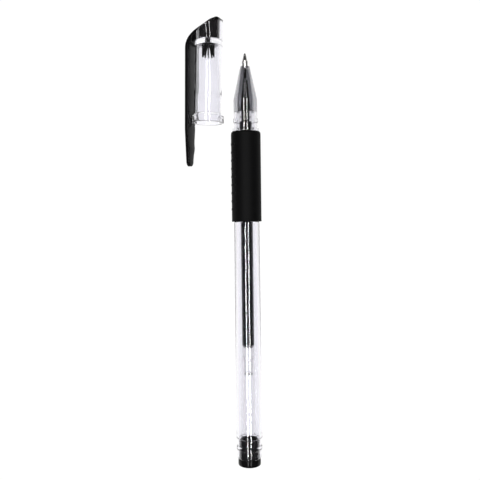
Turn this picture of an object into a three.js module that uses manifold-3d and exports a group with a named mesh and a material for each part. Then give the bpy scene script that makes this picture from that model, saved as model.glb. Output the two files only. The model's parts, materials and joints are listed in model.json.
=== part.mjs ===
// A capped gel pen lying on a table with its cap off and beside it, in millimetres.
// +Y runs from the rear plug to the writing ball, +Z is up and the table is z = 0.
// Places on the pen are setbacks: distances back from the front of the ball.
// Places on the cap are heights: distances from its open mouth towards its closed top.

import * as THREE from "three";
import { mergeVertices } from "three/addons/utils/BufferGeometryUtils.js";
import Module from "manifold-3d";

const wasm = await Module();
wasm.setup();

const ROUND_STEPS = 24; // facets round every turned piece, so that nested pieces line up
const PRESS_CLEARANCE = 0.03; // pieces pushed together for good
const SLIDE_CLEARANCE = 0.08; // pieces that pull apart, and the ball in its socket
const CAP_CLEARANCE = 0.3; // between the cap's own pieces, which lie turned

// Writing point
const BALL_RADIUS = 0.25;
const BALL_SHOWING = 0.2;
const POINT_MOUTH_WALL = 0.06;
const POINT_RADIUS = 1.03;
const POINT_LENGTH = 4.5;
const POINT_SHOULDER = 1.8; // the length at full width, ahead of the nose face
const POINT_STEP = 0.13;
const SHANK_RADIUS = 0.45;
const SHANK_LENGTH = 4.6;
const POINT_DUCT_RADIUS = 0.25;

// Refill
const TUBE_RADIUS = 2.07;
const TUBE_BORE = 1.45;
const REFILL_LENGTH = 130;
const HOLDER_BODY = 14.0;
const HOLDER_RADIUS = 2.5;
const HOLDER_SPIGOT = 3.0;
const HOLDER_DUCT = 0.45; // at its narrow front end
const HOLDER_SPIGOT_WALL = 0.32;
const HOLDER_FRONT_WALL = 0.3;
const INK_LENGTH = 78.0;
const FOLLOWER_LENGTH = 8.9;
const MENISCUS = 1.1;

// Nose cone
const NOSE_FACE_RADIUS = 1.6;
const NOSE_RADIUS = 4.03;
const NOSE_TAPER = 11.2;
const NOSE_LENGTH = 22.0; // from the front face to the back of the flange
const NOSE_THICK_OVERLAP = 0.22; // the thick wall's reach past the tip holder's body
const NOSE_THIN_WALL = 0.85;
const NOSE_FACE_LAND = 0.9;
const SNAP_RING_RADIUS = 4.3;
const SNAP_RING_WIDTH = 1.6;
const SNAP_RING_AHEAD = 2.8; // from the snap ring's middle to the flange's front
const FLANGE_RADIUS = 4.54;
const FLANGE_THICKNESS = 1.0;
const SPIGOT_LENGTH = 7.0;
const SPIGOT_WALL = 0.75;

// Barrel, grip and rear plug
const GRIP_RADIUS = 5.15;
const GRIP_LENGTH = 30.5;
const GRIP_EDGE = 1.0;
const NECK_RADIUS = 3.95;
const BARREL_FRONT_RADIUS = 4.3;
const BARREL_REAR_RADIUS = 4.5;
const BARREL_BORE = 3.45;
const BARREL_LENGTH = 112.0; // from the nose flange to the barrel's rear face
const STOP_RING_RADIUS = 4.55;
const STOP_RING_WIDTH = 1.4;
const POST_RADIUS = 4.17; // the reduced rear end, which the cap goes on
const POST_LENGTH = 7.1;
const POST_RING_RADIUS = 4.42;
const POST_RING_WIDTH = 1.4;
const POST_RING_AHEAD = 4.2;
const PLUG_FLANGE_RADIUS = 3.92;
const PLUG_FLANGE = 2.5;
const PLUG_BODY = 6.8;
const PLUG_WALL = 0.9;
const VENT_RADIUS = 0.5;

// Cap
const CAP_RADIUS = 4.7;
const CAP_MOUTH_BORE = 4.43;
const CAP_MOUTH_DEPTH = 4.5;
const CAP_GUIDE_BORE = 4.15;
const CAP_GUIDE_DEPTH = 9.4;
const CAP_BORE = 3.8;
const LIP_RADIUS = 5.575;
const LIP_HEIGHT = 2.2;
const LIP_TAPER = 0.9;
const SHELF_HEIGHT = 26.0;
const SHELF_THICKNESS = 1.6;
const SLANT_HEIGHT = 32.1; // the slanted rim's height on the cap's axis
const SLANT_RISE = 0.53; // its rise for each millimetre away from the clip
const COVER_THICKNESS = 1.2;
const TAIL_STEM_RADIUS = 0.6;
const TAIL_DIMPLE_RADIUS = 0.42; // clears the ball when the cap is on
const SPOKE_DEPTH = 0.4;
const TAIL_RADIUS = 2.15;
const TAIL_BORE = 1.85;
const TAIL_LENGTH = 3.8; // of the fingers below the shelf
const TAIL_FINGERS = 10;
const FINGER_WIDTH = 0.4;

// Clip
const CLIP_THICKNESS = 1.27;
const CLIP_TOP_REACH = 7.67; // from the cap's axis to the clip's outer face, at the shoulder
const CLIP_END_REACH = 7.1; // and at its free end
const CLIP_WIDTH = 5.6;
const CLIP_END_WIDTH = 3.0;
const CLIP_OVERHANG = 14.5; // past the cap's mouth
const CLIP_TAPER_LENGTH = 12.5;
const SHOULDER_HEIGHT = 27.0;
const BUMP_HEIGHT = 0.35;
const BUMP_LENGTH = 4.8;
const BUMP_SETBACK = 3.6; // from the clip's end to its gripping bump

// Where the cap lies
const CAP_ASIDE = 12.95; // from the pen's axis to the cap's, at the cap's mouth
const CAP_MOUTH_SETBACK = 23.5;
const CAP_YAW = THREE.MathUtils.degToRad(-1.75);

// ---- Worked out from the sizes above ----
const noseFace = POINT_LENGTH;
const flangeBack = noseFace + NOSE_LENGTH;
const flangeFront = flangeBack - FLANGE_THICKNESS;
const noseBore = HOLDER_RADIUS + SLIDE_CLEARANCE;
const shelfBore = TAIL_STEM_RADIUS + CAP_CLEARANCE / 2;
const noseConeRear = noseFace + NOSE_TAPER; // the holder's taper ends with the cone's
const noseThinBore = NOSE_RADIUS - NOSE_THIN_WALL;
const barrelFront = flangeBack + PRESS_CLEARANCE;
const barrelRear = barrelFront + BARREL_LENGTH;
const gripFront = barrelFront;
const gripRear = gripFront + GRIP_LENGTH;
const postFront = barrelRear - POST_LENGTH;
const spigotRadius = BARREL_BORE - PRESS_CLEARANCE;
const holderFront = noseFace + NOSE_FACE_LAND + SLIDE_CLEARANCE;
const holderRear = holderFront + HOLDER_BODY;
const tubeFront = holderRear + PRESS_CLEARANCE;
const noseThickEnd = holderRear + NOSE_THICK_OVERLAP;
const spigotRear = holderRear + HOLDER_SPIGOT;
const inkFront = spigotRear + PRESS_CLEARANCE;
const inkRear = inkFront + INK_LENGTH;
const fluidRadius = TUBE_BORE - PRESS_CLEARANCE;
const ballCentre = BALL_RADIUS;
const socketRadius = BALL_RADIUS + SLIDE_CLEARANCE / 4;
const clipTopReach = CLIP_TOP_REACH - CLIP_THICKNESS;
const clipEndReach = CLIP_END_REACH - CLIP_THICKNESS;

function material(colour, roughness, metalness, opacity = 1) {
  return new THREE.MeshStandardMaterial({
    color: colour,
    roughness,
    metalness,
    opacity,
    transparent: opacity < 1,
  });
}

const CLEAR_PLASTIC = material(0xecebf2, 0.08, 0, 0.35);
const BLACK_RUBBER = material(0x151515, 0.75, 0);
const BLACK_GLOSS = material(0x121013, 0.12, 0);
const STEEL = material(0xb4b0ae, 0.25, 1);
const BLACK_INK = material(0x09090b, 0.1, 0);
const FROSTED_PLASTIC = material(0x8e8e93, 0.4, 0, 0.8);
const CLEAR_GEL = material(0xf1f0ee, 0.15, 0, 0.4);

function named(name, geometry, surface) {
  const mesh = new THREE.Mesh(geometry, surface);
  mesh.name = name;
  return mesh;
}

// Turns [radius, place] points about the Y axis. The points run from the lowest Y, up the outside.
function turned(points, phase = 0) {
  const outline = points.map(([radius, y]) => new THREE.Vector2(radius, y));
  return new THREE.LatheGeometry(outline, ROUND_STEPS, phase, 2 * Math.PI);
}

// A turned piece of the pen. outer runs from rear to front and inner back again, as [radius, setback].
function turnedShell(outer, inner) {
  const loop = [...outer, ...inner, outer[0]];
  return turned(loop.map(([radius, setback]) => [radius, -setback]));
}

function turnedRod(outer) {
  const [first, last] = [outer[0], outer.at(-1)];
  const line = [[0, first[1]], ...outer, [0, last[1]]];
  return turned(line.map(([radius, setback]) => [radius, -setback]));
}

function toSolid(geometry) {
  const bare = geometry.index ? geometry.toNonIndexed() : geometry.clone();
  bare.deleteAttribute("normal");
  bare.deleteAttribute("uv");
  const merged = mergeVertices(bare, 1e-4);
  return new wasm.Manifold(
    new wasm.Mesh({
      numProp: 3,
      vertProperties: new Float32Array(merged.attributes.position.array),
      triVerts: new Uint32Array(merged.index.array),
    }),
  );
}

function toGeometry(solid) {
  const { vertProperties, triVerts } = solid.getMesh();
  const geometry = new THREE.BufferGeometry();
  geometry.setAttribute("position", new THREE.BufferAttribute(vertProperties, 3));
  geometry.setIndex(new THREE.BufferAttribute(triVerts, 1));
  geometry.computeVertexNormals();
  return geometry;
}

// ---- Writing point and refill ----

function writingBall() {
  const geometry = new THREE.SphereGeometry(BALL_RADIUS, 16, 10);
  geometry.translate(0, -ballCentre, 0);
  return named("writing_ball", geometry, STEEL);
}

// A turned metal point: a bell that narrows to the ball, a shoulder, and a shank in the holder.
function tipCone() {
  const rim = BALL_SHOWING;
  const seat = ballCentre + BALL_RADIUS + SLIDE_CLEARANCE;
  const bellRear = POINT_LENGTH - POINT_SHOULDER;
  const shankRear = POINT_LENGTH + SHANK_LENGTH;
  const outer = [
    [SHANK_RADIUS, shankRear],
    [SHANK_RADIUS, noseFace + NOSE_FACE_LAND],
    [POINT_RADIUS, noseFace + NOSE_FACE_LAND],
    [POINT_RADIUS, bellRear],
    [POINT_RADIUS - POINT_STEP, bellRear - POINT_STEP],
    [socketRadius + POINT_MOUTH_WALL, rim],
  ];
  const inner = [
    [socketRadius, rim],
    [socketRadius, seat],
    [BALL_RADIUS / 2, seat],
    [BALL_RADIUS / 2, seat + BALL_RADIUS],
    [POINT_DUCT_RADIUS, seat + 3 * BALL_RADIUS],
    [POINT_DUCT_RADIUS, shankRear],
  ];
  return named("tip_cone", turnedShell(outer, inner), STEEL);
}

// The plastic holder that joins the metal point to the ink tube.
function tipHolder() {
  const holderNose = POINT_RADIUS - PRESS_CLEARANCE;
  const spigot = TUBE_BORE - PRESS_CLEARANCE;
  const shankBore = SHANK_RADIUS + PRESS_CLEARANCE;
  const shankBottom = POINT_LENGTH + SHANK_LENGTH + PRESS_CLEARANCE;
  const outer = [
    [spigot, spigotRear],
    [spigot, holderRear],
    [HOLDER_RADIUS, holderRear],
    [HOLDER_RADIUS, noseConeRear],
    [holderNose + HOLDER_FRONT_WALL, holderFront + HOLDER_FRONT_WALL],
    [holderNose, holderFront],
  ];
  const inner = [
    [shankBore, holderFront],
    [shankBore, shankBottom],
    [HOLDER_DUCT, shankBottom],
    [spigot - HOLDER_SPIGOT_WALL, holderRear],
    [spigot - HOLDER_SPIGOT_WALL, spigotRear],
  ];
  return named("tip_holder", turnedShell(outer, inner), FROSTED_PLASTIC);
}

function refillTube() {
  const tubeRear = REFILL_LENGTH;
  const outer = [
    [TUBE_RADIUS, tubeRear],
    [TUBE_RADIUS, tubeFront],
  ];
  const inner = [
    [TUBE_BORE, tubeFront],
    [TUBE_BORE, tubeRear],
  ];
  return named("refill_tube", turnedShell(outer, inner), CLEAR_PLASTIC);
}

// The ink stands in the tube with a domed rear end, which the follower's hollow end fits.
function inkColumn() {
  const outer = [
    [fluidRadius * 0.55, inkRear],
    [fluidRadius * 0.9, inkRear - MENISCUS * 0.35],
    [fluidRadius, inkRear - MENISCUS],
    [fluidRadius, inkFront],
  ];
  return named("ink_column", turnedRod(outer), BLACK_INK);
}

function inkFollower() {
  const front = inkRear - MENISCUS + PRESS_CLEARANCE;
  const hollow = inkRear + PRESS_CLEARANCE;
  const rear = inkRear + FOLLOWER_LENGTH;
  const line = [
    [0, rear - MENISCUS / 2],
    [fluidRadius * 0.6, rear - MENISCUS / 3],
    [fluidRadius, rear],
    [fluidRadius, front],
    [fluidRadius * 0.93, hollow - MENISCUS * 0.35],
    [fluidRadius * 0.6, hollow],
    [0, hollow],
  ];
  const geometry = turned(line.map(([radius, setback]) => [radius, -setback]));
  return named("ink_follower", geometry, CLEAR_GEL);
}

// ---- Nose cone, barrel, grip and plug ----

// The clear nose screws into the barrel. Its front half is thick round the tip holder, and
// a snap ring ahead of the flange holds the cap on.
function noseCone() {
  const ringMiddle = flangeFront - SNAP_RING_AHEAD;
  const ringHalf = SNAP_RING_WIDTH / 2;
  const ringEdge = SNAP_RING_RADIUS - NOSE_RADIUS;
  const spigotEnd = flangeBack + SPIGOT_LENGTH;
  const outer = [
    [spigotRadius, spigotEnd],
    [spigotRadius, flangeBack],
    [FLANGE_RADIUS, flangeBack],
    [FLANGE_RADIUS, flangeFront],
    [NOSE_RADIUS, flangeFront],
    [NOSE_RADIUS, ringMiddle + ringHalf],
    [SNAP_RING_RADIUS, ringMiddle + ringHalf - ringEdge],
    [SNAP_RING_RADIUS, ringMiddle - ringHalf + ringEdge],
    [NOSE_RADIUS, ringMiddle - ringHalf],
    [NOSE_RADIUS, noseConeRear],
    [NOSE_FACE_RADIUS, noseFace],
  ];
  const pointBore = POINT_RADIUS + SLIDE_CLEARANCE;
  const inner = [
    [pointBore, noseFace],
    [pointBore, noseFace + NOSE_FACE_LAND],
    [pointBore + HOLDER_FRONT_WALL, noseFace + NOSE_FACE_LAND + HOLDER_FRONT_WALL],
    [noseBore, noseConeRear],
    [noseBore, noseThickEnd],
    [noseThinBore, noseThickEnd],
    [noseThinBore, flangeBack],
    [spigotRadius - SPIGOT_WALL, flangeBack],
    [spigotRadius - SPIGOT_WALL, spigotEnd],
  ];
  return named("nose_cone", turnedShell(outer, inner), CLEAR_PLASTIC);
}

// The barrel: a neck under the grip, a long drafted body, a stop ring, and a reduced rear end
// with its own ring for the cap.
function barrel() {
  const postRingMiddle = postFront + POST_RING_AHEAD - POST_RING_WIDTH / 2;
  const outer = [
    [POST_RADIUS, barrelRear],
    [POST_RADIUS, postRingMiddle + POST_RING_WIDTH / 2],
    [POST_RING_RADIUS, postRingMiddle + POST_RING_WIDTH / 4],
    [POST_RING_RADIUS, postRingMiddle - POST_RING_WIDTH / 4],
    [POST_RADIUS, postRingMiddle - POST_RING_WIDTH / 2],
    [POST_RADIUS, postFront],
    [STOP_RING_RADIUS, postFront],
    [STOP_RING_RADIUS, postFront - STOP_RING_WIDTH],
    [BARREL_REAR_RADIUS, postFront - STOP_RING_WIDTH],
    [BARREL_FRONT_RADIUS, gripRear + PRESS_CLEARANCE],
    [NECK_RADIUS, gripRear + PRESS_CLEARANCE],
    [NECK_RADIUS, barrelFront],
  ];
  const inner = [
    [BARREL_BORE, barrelFront],
    [BARREL_BORE, barrelRear],
  ];
  return named("barrel", turnedShell(outer, inner), CLEAR_PLASTIC);
}

// The rubber sleeve stretched over the barrel's neck, with rounded ends.
function gripSleeve() {
  const bore = NECK_RADIUS + PRESS_CLEARANCE;
  const outer = [
    [GRIP_RADIUS - GRIP_EDGE / 2, gripRear],
    [GRIP_RADIUS, gripRear - GRIP_EDGE / 2],
    [GRIP_RADIUS, gripFront + GRIP_EDGE],
    [GRIP_RADIUS - GRIP_EDGE * 0.3, gripFront + GRIP_EDGE * 0.3],
    [GRIP_RADIUS - GRIP_EDGE, gripFront],
  ];
  const inner = [
    [bore, gripFront],
    [bore, gripRear],
  ];
  return named("grip_sleeve", turnedShell(outer, inner), BLACK_RUBBER);
}

// A black cup pushed into the barrel's rear, with a vent through its end wall.
function rearPlug() {
  const bodyRadius = BARREL_BORE - PRESS_CLEARANCE;
  const flangeFrontFace = barrelRear + PRESS_CLEARANCE;
  const plugRear = flangeFrontFace + PLUG_FLANGE;
  const bodyFront = flangeFrontFace - PLUG_BODY;
  const edge = PLUG_WALL / 3;
  const outer = [
    [PLUG_FLANGE_RADIUS - edge, plugRear],
    [PLUG_FLANGE_RADIUS, plugRear - edge],
    [PLUG_FLANGE_RADIUS, flangeFrontFace],
    [bodyRadius, flangeFrontFace],
    [bodyRadius, bodyFront + edge],
    [bodyRadius - edge, bodyFront],
  ];
  const inner = [
    [bodyRadius - PLUG_WALL, bodyFront],
    [bodyRadius - PLUG_WALL, flangeFrontFace],
    [VENT_RADIUS, flangeFrontFace],
    [VENT_RADIUS, plugRear],
  ];
  return named("rear_plug", turnedShell(outer, inner), BLACK_GLOSS);
}

// ---- Cap, in its own frame: axis +Y, mouth at y = 0, clip on the -X side ----

// The roll at which the cap's lip and the clip's lower edge both touch the table.
function restingRoll() {
  const reach = Math.hypot(CLIP_TOP_REACH, CLIP_WIDTH / 2);
  return Math.asin(LIP_RADIUS / reach) - Math.atan2(CLIP_WIDTH / 2, CLIP_TOP_REACH);
}

function slantAt(x) {
  return SLANT_HEIGHT + SLANT_RISE * x;
}

// Everything above a plane parallel to the slanted rim, as a deep extruded wedge.
function aboveSlant(lift) {
  const far = 4 * CAP_RADIUS;
  const shape = new THREE.Shape([
    new THREE.Vector2(-far, slantAt(-far) + lift),
    new THREE.Vector2(far, slantAt(far) + lift),
    new THREE.Vector2(far, slantAt(far) + lift + far),
    new THREE.Vector2(-far, slantAt(far) + lift + far),
  ]);
  return toSolid(extrudedAcross(shape, far));
}

// Extrudes a side view, drawn in X and Y, by half a width to each side.
function extrudedAcross(shape, halfWidth, curveSegments = 6) {
  const geometry = new THREE.ExtrudeGeometry(shape, {
    depth: 2 * halfWidth,
    bevelEnabled: false,
    curveSegments,
  });
  return geometry.translate(0, 0, -halfWidth);
}

function capTube() {
  const shelfTop = SHELF_HEIGHT + SHELF_THICKNESS;
  const top = slantAt(CAP_RADIUS) + CAP_CLEARANCE;
  const edge = LIP_TAPER / 4;
  const loop = [
    [CAP_MOUTH_BORE, 0],
    [LIP_RADIUS - edge, 0],
    [LIP_RADIUS, edge],
    [LIP_RADIUS, LIP_HEIGHT],
    [CAP_RADIUS, LIP_HEIGHT + LIP_TAPER],
    [CAP_RADIUS, top],
    [CAP_BORE, top],
    [CAP_BORE, shelfTop],
    [shelfBore, shelfTop],
    [shelfBore, SHELF_HEIGHT],
    [CAP_BORE, SHELF_HEIGHT],
    [CAP_BORE, CAP_GUIDE_DEPTH],
    [CAP_GUIDE_BORE, CAP_GUIDE_DEPTH],
    [CAP_GUIDE_BORE, CAP_MOUTH_DEPTH],
    [CAP_MOUTH_BORE, CAP_MOUTH_DEPTH],
    [CAP_MOUTH_BORE, 0],
  ];
  const whole = toSolid(turned(loop, restingRoll()));
  return named("cap_tube", toGeometry(whole.subtract(aboveSlant(0))), CLEAR_PLASTIC);
}

// The stem that passes through the shelf's hole, hollowed at its end for the ball.
function tailStem(bottom, top) {
  const loop = [
    [0, bottom + 2 * SPOKE_DEPTH],
    [TAIL_DIMPLE_RADIUS, bottom],
    [TAIL_STEM_RADIUS, bottom],
    [TAIL_STEM_RADIUS, top],
    [0, top],
  ];
  return toSolid(turned(loop, restingRoll()));
}

// One of the ring of fingers round the pen's point, with its spoke. The first one faces up.
function tailFinger(number, bottom, top) {
  const turn = restingRoll() - Math.PI / 2 + (number * 2 * Math.PI) / TAIL_FINGERS;
  const inside = (TAIL_STEM_RADIUS + TAIL_DIMPLE_RADIUS) / 2;
  const outline = [
    new THREE.Vector2(inside, top),
    new THREE.Vector2(inside, top - SPOKE_DEPTH),
    new THREE.Vector2(TAIL_BORE, top - SPOKE_DEPTH),
    new THREE.Vector2(TAIL_BORE, bottom),
    new THREE.Vector2(TAIL_RADIUS, bottom),
    new THREE.Vector2(TAIL_RADIUS, top),
  ];
  const geometry = extrudedAcross(new THREE.Shape(outline), FINGER_WIDTH / 2);
  return toSolid(geometry.rotateY(turn));
}

// The plan of the head: the cap's circle joined to the clip's width, as a tall prism.
function headPlan(bottom, top) {
  const half = CLIP_WIDTH / 2;
  const shape = new THREE.Shape();
  const start = Math.PI - Math.asin(half / CAP_RADIUS);
  shape.moveTo(-CLIP_TOP_REACH, half);
  shape.lineTo(-CLIP_TOP_REACH, -half);
  shape.absarc(0, 0, CAP_RADIUS, -start, start, false);
  const geometry = new THREE.ExtrudeGeometry(shape, {
    depth: top - bottom,
    bevelEnabled: false,
    curveSegments: 10,
  });
  geometry.rotateX(-Math.PI / 2);
  return toSolid(geometry.translate(0, bottom, 0));
}

// The head's side view: a ramp that rises from the clip's shoulder to the far side of the cap.
function headSideView() {
  const lowX = -CAP_RADIUS - CAP_CLEARANCE;
  const coverFoot = slantAt(lowX) + CAP_CLEARANCE;
  const rampFoot = slantAt(-CLIP_TOP_REACH) + COVER_THICKNESS;
  const peak = slantAt(CAP_RADIUS * 0.75) + COVER_THICKNESS;
  const farFoot = slantAt(CAP_RADIUS) + CAP_CLEARANCE;
  const shape = new THREE.Shape();
  shape.moveTo(-CLIP_TOP_REACH, SHOULDER_HEIGHT);
  shape.lineTo(-clipTopReach, SHOULDER_HEIGHT);
  shape.quadraticCurveTo(lowX, SHOULDER_HEIGHT, lowX, coverFoot);
  shape.lineTo(CAP_RADIUS, farFoot);
  shape.quadraticCurveTo(CAP_RADIUS, peak, CAP_RADIUS * 0.6, peak);
  shape.lineTo(-CAP_RADIUS, slantAt(-CAP_RADIUS) + COVER_THICKNESS);
  shape.quadraticCurveTo(-CLIP_TOP_REACH, rampFoot, -CLIP_TOP_REACH, SHOULDER_HEIGHT);
  return shape;
}

// The black head: a sloped cover, a round plug in the cap's upper chamber, and the tail below it.
function capHead() {
  const plugBottom = SHELF_HEIGHT + SHELF_THICKNESS + CAP_CLEARANCE;
  const plugTop = slantAt(0) + COVER_THICKNESS / 2;
  const plugRadius = CAP_BORE - CAP_CLEARANCE;
  const tailBottom = SHELF_HEIGHT - TAIL_LENGTH;
  const highest = slantAt(CAP_RADIUS) + 2 * COVER_THICKNESS;
  const cover = toSolid(extrudedAcross(headSideView(), 2 * CAP_RADIUS)).intersect(
    headPlan(SHOULDER_HEIGHT - 1, highest),
  );
  const plugLine = [
    [0, plugBottom],
    [plugRadius, plugBottom],
    [plugRadius, plugTop + 4],
    [0, plugTop + 4],
  ];
  const plug = toSolid(turned(plugLine, restingRoll())).subtract(
    aboveSlant(CAP_CLEARANCE + COVER_THICKNESS / 4),
  );
  const tailTop = SHELF_HEIGHT - PRESS_CLEARANCE;
  let tail = tailStem(tailTop - SPOKE_DEPTH, plugBottom + SPOKE_DEPTH);
  for (let number = 0; number < TAIL_FINGERS; number += 1) {
    tail = tail.add(tailFinger(number, tailBottom, tailTop));
  }
  return named("cap_head", toGeometry(cover.add(plug).add(tail)), BLACK_GLOSS);
}

// The clip's side view: a nearly straight strip that leans in, with a bump to grip a pocket.
function clipSideView(top, end) {
  const bumpMiddle = end + BUMP_SETBACK + BUMP_LENGTH / 2;
  const lean = (clipTopReach - clipEndReach) / (top - end);
  const inner = (y) => -(clipEndReach + lean * (y - end));
  const shape = new THREE.Shape();
  shape.moveTo(-CLIP_TOP_REACH, top);
  shape.lineTo(-CLIP_END_REACH, end + CLIP_THICKNESS / 2);
  shape.quadraticCurveTo(-CLIP_END_REACH, end, -CLIP_END_REACH + CLIP_THICKNESS / 2, end);
  shape.quadraticCurveTo(inner(end), end, inner(end), end + CLIP_THICKNESS / 2);
  shape.lineTo(inner(bumpMiddle - BUMP_LENGTH / 2), bumpMiddle - BUMP_LENGTH / 2);
  shape.quadraticCurveTo(
    inner(bumpMiddle) + 2 * BUMP_HEIGHT,
    bumpMiddle,
    inner(bumpMiddle + BUMP_LENGTH / 2),
    bumpMiddle + BUMP_LENGTH / 2,
  );
  shape.lineTo(-clipTopReach, top);
  return shape;
}

// The clip seen face on: parallel sides, then a taper to a rounded end. Drawn in Z and Y.
function clipFaceView(top, end) {
  const half = CLIP_WIDTH / 2;
  const endHalf = CLIP_END_WIDTH / 2;
  const shape = new THREE.Shape();
  shape.moveTo(-half, top + 1);
  shape.lineTo(-half, end + CLIP_TAPER_LENGTH);
  shape.lineTo(-endHalf, end + endHalf);
  shape.quadraticCurveTo(-endHalf, end, 0, end);
  shape.quadraticCurveTo(endHalf, end, endHalf, end + endHalf);
  shape.lineTo(half, end + CLIP_TAPER_LENGTH);
  shape.lineTo(half, top + 1);
  return shape;
}

function clipArm() {
  const top = SHOULDER_HEIGHT - CAP_CLEARANCE;
  const end = -CLIP_OVERHANG;
  const side = toSolid(extrudedAcross(clipSideView(top, end), CLIP_WIDTH));
  const faceGeometry = extrudedAcross(clipFaceView(top, end), 2 * CLIP_TOP_REACH);
  const face = toSolid(faceGeometry.rotateY(Math.PI / 2));
  return named("clip_arm", toGeometry(side.intersect(face)), BLACK_GLOSS);
}

// ---- The pen and its cap, laid side by side on the table ----

function restOnTable(group) {
  group.updateMatrixWorld(true);
  const box = new THREE.Box3().setFromObject(group, true);
  group.position.z -= box.min.z;
}

const pen = new THREE.Group();
pen.add(barrel(), gripSleeve(), rearPlug(), noseCone());
pen.add(refillTube(), tipHolder(), tipCone(), writingBall(), inkColumn(), inkFollower());
restOnTable(pen);

const cap = new THREE.Group();
cap.add(capTube(), capHead(), clipArm());
cap.rotation.set(0, -restingRoll(), CAP_YAW, "ZYX");
cap.position.set(-CAP_ASIDE, -CAP_MOUTH_SETBACK, 0);
restOnTable(cap);

const gelPen = new THREE.Group();
gelPen.add(pen, cap);
gelPen.updateMatrixWorld(true);
const middle = new THREE.Box3().setFromObject(gelPen, true).getCenter(new THREE.Vector3());
gelPen.position.set(-middle.x, -middle.y, 0);

export default gelPen;
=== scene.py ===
import json
from math import pi, radians

import bpy
import numpy as np
from mathutils import Matrix, Vector


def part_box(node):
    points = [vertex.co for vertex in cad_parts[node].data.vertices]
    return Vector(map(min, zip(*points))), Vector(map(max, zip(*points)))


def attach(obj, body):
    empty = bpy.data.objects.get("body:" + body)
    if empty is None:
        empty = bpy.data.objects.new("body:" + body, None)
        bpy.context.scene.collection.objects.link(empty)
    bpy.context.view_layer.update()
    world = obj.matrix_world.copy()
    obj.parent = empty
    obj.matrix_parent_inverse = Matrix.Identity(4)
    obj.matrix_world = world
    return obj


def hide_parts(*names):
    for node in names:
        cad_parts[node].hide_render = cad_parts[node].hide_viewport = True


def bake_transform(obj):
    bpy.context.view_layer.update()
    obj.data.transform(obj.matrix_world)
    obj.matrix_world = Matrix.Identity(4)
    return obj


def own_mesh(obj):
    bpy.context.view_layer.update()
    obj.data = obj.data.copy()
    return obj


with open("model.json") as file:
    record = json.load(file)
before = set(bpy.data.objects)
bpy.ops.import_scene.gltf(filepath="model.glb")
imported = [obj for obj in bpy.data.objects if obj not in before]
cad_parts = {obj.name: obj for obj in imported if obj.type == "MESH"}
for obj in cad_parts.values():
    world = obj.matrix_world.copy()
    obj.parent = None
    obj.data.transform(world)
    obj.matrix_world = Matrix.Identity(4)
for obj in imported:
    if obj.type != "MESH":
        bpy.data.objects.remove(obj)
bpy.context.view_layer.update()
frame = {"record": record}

# ---------------------------------------------------------------------------------------
# Camera. It looks down on the pen from a hand's height, tilted a little towards the tip,
# and turned by less than a degree. The pen's axis is level and runs along Y.
# ---------------------------------------------------------------------------------------
MM = 0.001
barrel_low, barrel_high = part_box("barrel")
PEN_X = (barrel_low[0] + barrel_high[0]) / 2
PEN_Z = (barrel_low[2] + barrel_high[2]) / 2
BALL_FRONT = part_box("writing_ball")[1][1]
CAMERA_DISTANCE = 205.5 * MM
CAMERA_TILT = radians(-1.9)
CAMERA_ROLL = radians(0.72)
LOOK_ASIDE = 2.4 * MM
LOOK_BACK = 63.3 * MM
look_at = Vector((PEN_X - LOOK_ASIDE, BALL_FRONT - LOOK_BACK, PEN_Z))
camera = bpy.data.objects.new("camera", bpy.data.cameras.new("camera"))
camera.data.lens = 45
camera.data.sensor_width = 36
camera.data.clip_start = 0.01
turn = Matrix.Rotation(-CAMERA_ROLL, 4, "Z") @ Matrix.Rotation(CAMERA_TILT, 4, "X")
draw_back = Matrix.Translation((0, 0, CAMERA_DISTANCE))
camera.matrix_world = Matrix.Translation(look_at) @ turn @ draw_back
bpy.context.collection.objects.link(camera)
bpy.context.scene.camera = camera


# ---------------------------------------------------------------------------------------
# The table and the light: a table of glowing opal glass, and two soft strips overhead, one
# on each side of the lens, that draw the thin lines down every glossy tube.
# ---------------------------------------------------------------------------------------
TABLE_HALF = 1.2
TABLE_GLOW = 0.965
TABLE_TOP = -0.02 * MM
table_mesh = bpy.data.meshes.new("table")
corners = [(-1, -1), (1, -1), (1, 1), (-1, 1)]
spread = [(x * TABLE_HALF, y * TABLE_HALF, TABLE_TOP) for x, y in corners]
table_mesh.from_pydata(spread, [], [(0, 1, 2, 3)])
opal = bpy.data.materials.new("opal_table")
opal.use_nodes = True
shader = opal.node_tree.nodes["Principled BSDF"]
shader.inputs["Base Color"].default_value = (0.05, 0.05, 0.05, 1)
shader.inputs["Roughness"].default_value = 1
shader.inputs["Specular IOR Level"].default_value = 0
shader.inputs["Emission Color"].default_value = (1, 1, 1, 1)
shader.inputs["Emission Strength"].default_value = TABLE_GLOW
table_mesh.materials.append(opal)
table = bpy.data.objects.new("table", table_mesh)
bpy.context.collection.objects.link(table)


def soft_light(name, place, size, power):
    """A rectangular area light at place, its long side along Y, turned to face the middle of the pen."""
    light = bpy.data.lights.new(name, "AREA")
    light.shape = "RECTANGLE"
    light.size, light.size_y = size
    light.energy = power
    lamp = bpy.data.objects.new(name, light)
    back = Vector(place).normalized()
    across = Vector((0, 1, 0)).cross(back).normalized()
    turned_to = Matrix((across, back.cross(across), back)).transposed().to_4x4()
    lamp.matrix_world = Matrix.Translation(place) @ turned_to
    bpy.context.collection.objects.link(lamp)


soft_light("strip_left", (-0.16, -0.05, 0.6), (0.052, 0.7), 3.4)
soft_light("strip_right", (0.16, -0.05, 0.6), (0.052, 0.7), 2.7)
world = bpy.data.worlds.new("studio")
world.use_nodes = True
world.node_tree.nodes["Background"].inputs["Color"].default_value = (1, 1, 1, 1)
world.node_tree.nodes["Background"].inputs["Strength"].default_value = 0.05
bpy.context.scene.world = world
bpy.context.scene.view_settings.view_transform = "Standard"


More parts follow.
